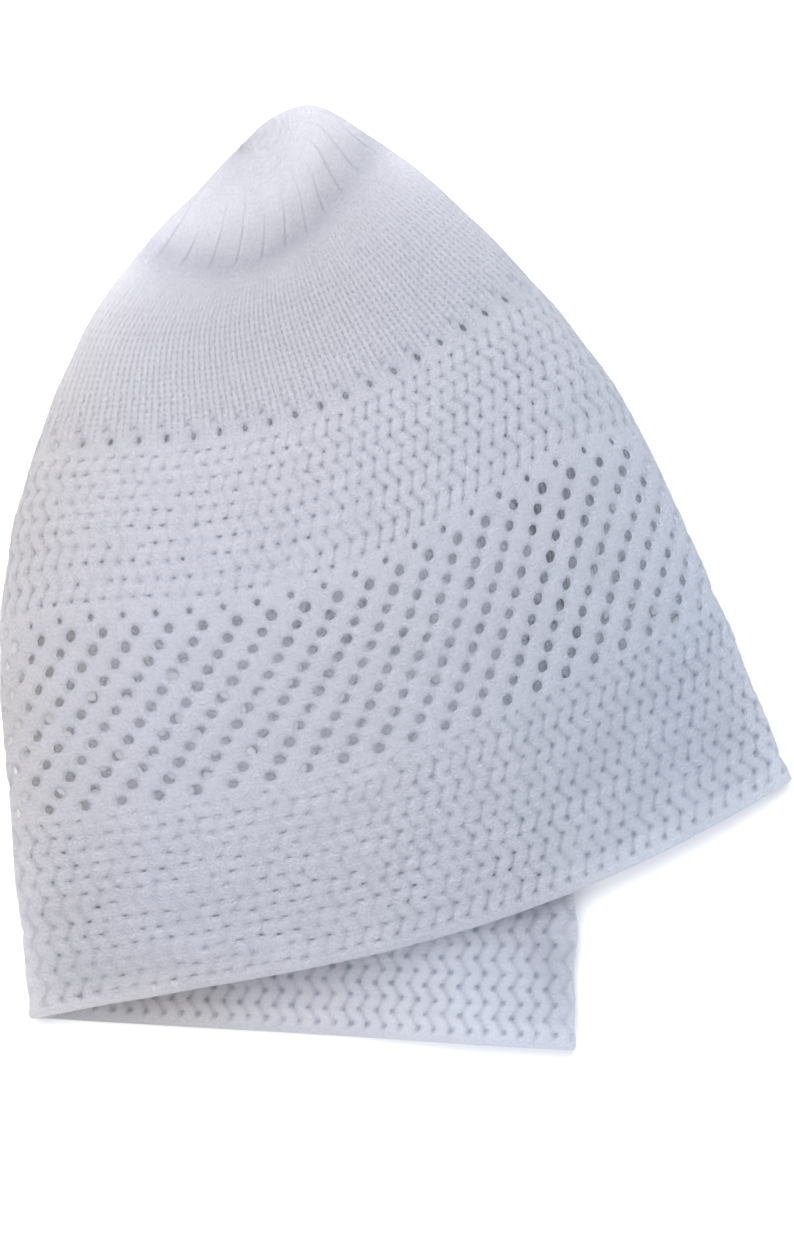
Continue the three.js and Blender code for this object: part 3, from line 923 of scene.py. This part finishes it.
def stitch_height(n, lean, row):
    """Slanted loops: 1 on top of a loop, falling to 0 between loops."""
    slant = n.math("MULTIPLY", lean, LOOP_LEAN)
    along = n.math("ADD", n.math("MULTIPLY", row, LOOPS), slant)
    loop = n.math("ABSOLUTE", n.math("SUBTRACT", n.math("FRACT", along), 0.5))
    gap = n.math("POWER", n.math("MULTIPLY", loop, 2.0), 3.0)
    valley = n.math("POWER", n.math("MULTIPLY", lean, 2.0), 4.0)
    return n.math("SUBTRACT", 1.0, n.math("MAXIMUM", gap, n.math("MULTIPLY", valley, 0.8)))


def wale_furrows(n, lean, row):
    """Fine furrows up the shoulder's knit, each a ladder of small pits."""
    step = n.math("FRACT", n.math("MULTIPLY", row, FURROW_PITS))
    ladder = n.math("ABSOLUTE", n.math("SUBTRACT", step, 0.5))
    pitted = n.math("ADD", 0.1, n.math("MULTIPLY", ladder, 1.9))
    furrow = n.math("POWER", n.math("MULTIPLY", lean, 2.0), 2.5)
    zone = n.math("MULTIPLY", n.ramp(row, *FURROWS_START), n.ramp(row, *FURROWS_END))
    return n.math("MULTIPLY", n.math("MULTIPLY", furrow, pitted), zone)


def side_shade_and_tint_shares(n, space, patches):
    """Shares of painted shade with a warm cast, on the left and low down, and of a cooler tint,
    on the right.
    """
    x, y, _ = n.parts(space)
    low_left = n.math("MULTIPLY", n.ramp(y, -0.09, -0.108), n.ramp(x, 0.02, -0.05))
    painted_left_shade = n.math("MAXIMUM", n.ramp(x, -0.06, -0.1), low_left)
    shares = []
    for side in (painted_left_shade, n.ramp(x, -0.02, 0.07)):
        patchy = n.math("MULTIPLY", side, patches, clamp=True)
        shares.append(n.math("MULTIPLY", patchy, TINT_STRENGTH))
    return shares


def tinted(n, colour, side_shade_and_tint, tints):
    for share, tint in zip(side_shade_and_tint, tints):
        colour = n.blend(share, colour, tint, "MULTIPLY")
    return colour


def knit_bump(n, stitch, wales, lint):
    """Relief too fine for the mesh: loops, lint and the shoulder's furrows."""
    loops = n.math("MULTIPLY", stitch, LOOP_BUMP)
    height = n.math("ADD", loops, n.math("MULTIPLY", lint, LINT_BUMP))
    height = n.math("SUBTRACT", height, n.math("MULTIPLY", wales, FURROW_BUMP))
    bump = n.add("ShaderNodeBump", {"Strength": 0.9, "Distance": 0.0005})
    n.link(height, bump.inputs["Height"])
    return bump.outputs[0]


def yarn_colour(n, row, stitch, wales, lint, patches):
    """White yarn, with painted light towards the crown, greyer in its lint and flecks, and with
    painted shade between loops and in furrows.
    """
    flecks = n.ramp(lint, 0.6, 0.42)
    between = n.math("SUBTRACT", 1.0, stitch)
    layers = (
        # Painted light towards the crown
        (n.ramp(row, 11.0, 27.0), CROWN_PAINTED_LIGHT),
        (n.math("MULTIPLY", lint, 0.16), LINT_GREY),
        (n.math("MULTIPLY", flecks, 0.45), FLECK_GREY),
        # Painted shade between loops and in furrows
        (n.math("MULTIPLY", between, 0.1), LOOP_GAP_SHADE_GREY),
        (n.math("MULTIPLY", wales, 0.4), FURROW_SHADE_GREY),
    )
    base = n.blend(patches, linear(*YARN), linear(*YARN_PATCHES))
    for share, colour in layers:
        base = n.blend(share, base, linear(*colour))
    return base


def knit_material():
    n = Nodes("white_knit")
    column, row, _ = n.parts(n.add("ShaderNodeUVMap", uv_map="knit").outputs[0])
    space = n.add("ShaderNodeTexCoord").outputs["Object"]
    lint = n.noise(space, LINT_SCALE, 2.0, 0.65)
    patches = n.noise(space, PATCH_SCALE, 1.0)
    lean = stitch_lean(n, column)
    stitch = stitch_height(n, lean, row)
    wales = wale_furrows(n, lean, row)
    # Painted shade with a warm cast on the left and low down, and a cooler tint on the right
    side_shade_and_tint = side_shade_and_tint_shares(n, space, patches)
    bump = knit_bump(n, stitch, wales, lint)
    # Painted shade: the attribute greys the yarn in hollows, round holes, at the hem, along the
    # crown's fold and on the flap
    painted_shade = n.add("ShaderNodeAttribute", attribute_name="painted_shade").outputs["Fac"]
    hollow_shade = n.math("MULTIPLY", painted_shade, HOLLOW_SHADE_STRENGTH, clamp=True)

    base = yarn_colour(n, row, stitch, wales, lint, patches)
    base = n.blend(hollow_shade, base, linear(*HOLLOW_SHADE_GREY))
    n.finish(tinted(n, base, side_shade_and_tint, YARN_TINTS), YARN_FINISH)
    n.link(bump, n.shader.inputs["Normal"])

    # Thin cotton lets much of the light through
    # Painted shade in the furrows, for the light through the yarn
    furrows = n.math("MULTIPLY", wales, 0.3)
    glow = n.blend(furrows, linear(*GLOW), linear(*FURROW_SHADE_GLOW))
    glow = n.blend(hollow_shade, glow, linear(*HOLLOW_SHADE_GLOW))
    through = n.add("ShaderNodeBsdfTranslucent")
    n.link(tinted(n, glow, side_shade_and_tint, GLOW_TINTS), through.inputs["Color"])
    n.link(bump, through.inputs["Normal"])
    both = n.add("ShaderNodeMixShader", {"Fac": GLOW_SHARE})
    n.link(n.shader.outputs[0], both.inputs[1])
    n.link(through.outputs[0], both.inputs[2])
    n.link(both.outputs[0], n.tree.nodes["Material Output"].inputs["Surface"])
    return n.material


FLOOR_COLOURS = ((235, 236, 238), (238, 239, 240))
FLOOR_REACH = 4.0


def floor_material():
    n = Nodes("pale_floor")
    space = n.add("ShaderNodeTexCoord").outputs["Object"]
    first, second = (linear(*colour) for colour in FLOOR_COLOURS)
    base = n.blend(n.noise(space, 5.0, 2.0), first, second)
    n.finish(base, {"Roughness": 0.95, "Specular IOR Level": 0.0})
    return n.material


def add_floor():
    mesh = bpy.data.meshes.new("floor")
    r = FLOOR_REACH
    mesh.from_pydata([(-r, -r, 0), (r, -r, 0), (r, r, 0), (-r, r, 0)], [], [(0, 1, 2, 3)])
    mesh.materials.append(floor_material())
    floor = bpy.data.objects.new("floor", mesh)
    bpy.context.scene.collection.objects.link(floor)


def add_light(name, place, width, power, colour):
    """A round lamp that faces the origin; metres and watts."""
    lamp = bpy.data.lights.new(name, "AREA")
    lamp.shape = "DISK"
    lamp.size = width
    lamp.energy = power
    lamp.color = colour
    light = bpy.data.objects.new(name, lamp)
    light.location = place
    light.rotation_euler = (-Vector(place)).to_track_quat("-Z", "Y").to_euler()
    bpy.context.scene.collection.objects.link(light)


def add_lights():
    add_light("key", (-0.25, 0.8, 1.7), width=1.5, power=39, colour=(0.975, 0.966, 1))
    add_light("fill", (-0.9, -0.6, 1.4), width=1.6, power=8, colour=(1, 0.98, 0.965))
    world = bpy.data.worlds.new("studio")
    world.use_nodes = True
    background = world.node_tree.nodes["Background"]
    background.inputs["Color"].default_value = (0.945, 0.95, 1, 1)
    background.inputs["Strength"].default_value = 0.85
    bpy.context.scene.world = world


def add_camera():
    data = bpy.data.cameras.new("camera")
    data.sensor_width = 36
    data.lens = 161.7
    data.clip_start = 0.05
    camera = bpy.data.objects.new("camera", data)
    camera.location = (0.00013, -0.01091, 1.406)
    bpy.context.scene.collection.objects.link(camera)
    bpy.context.scene.camera = camera


LIGHT_BOUNCES = 6

build_cap(knit_material())
add_floor()
add_lights()
add_camera()
bpy.context.scene.view_settings.view_transform = "Standard"
cycles = bpy.context.scene.cycles
cycles.use_light_tree = False
cycles.max_bounces = cycles.diffuse_bounces = cycles.transmission_bounces = LIGHT_BOUNCES
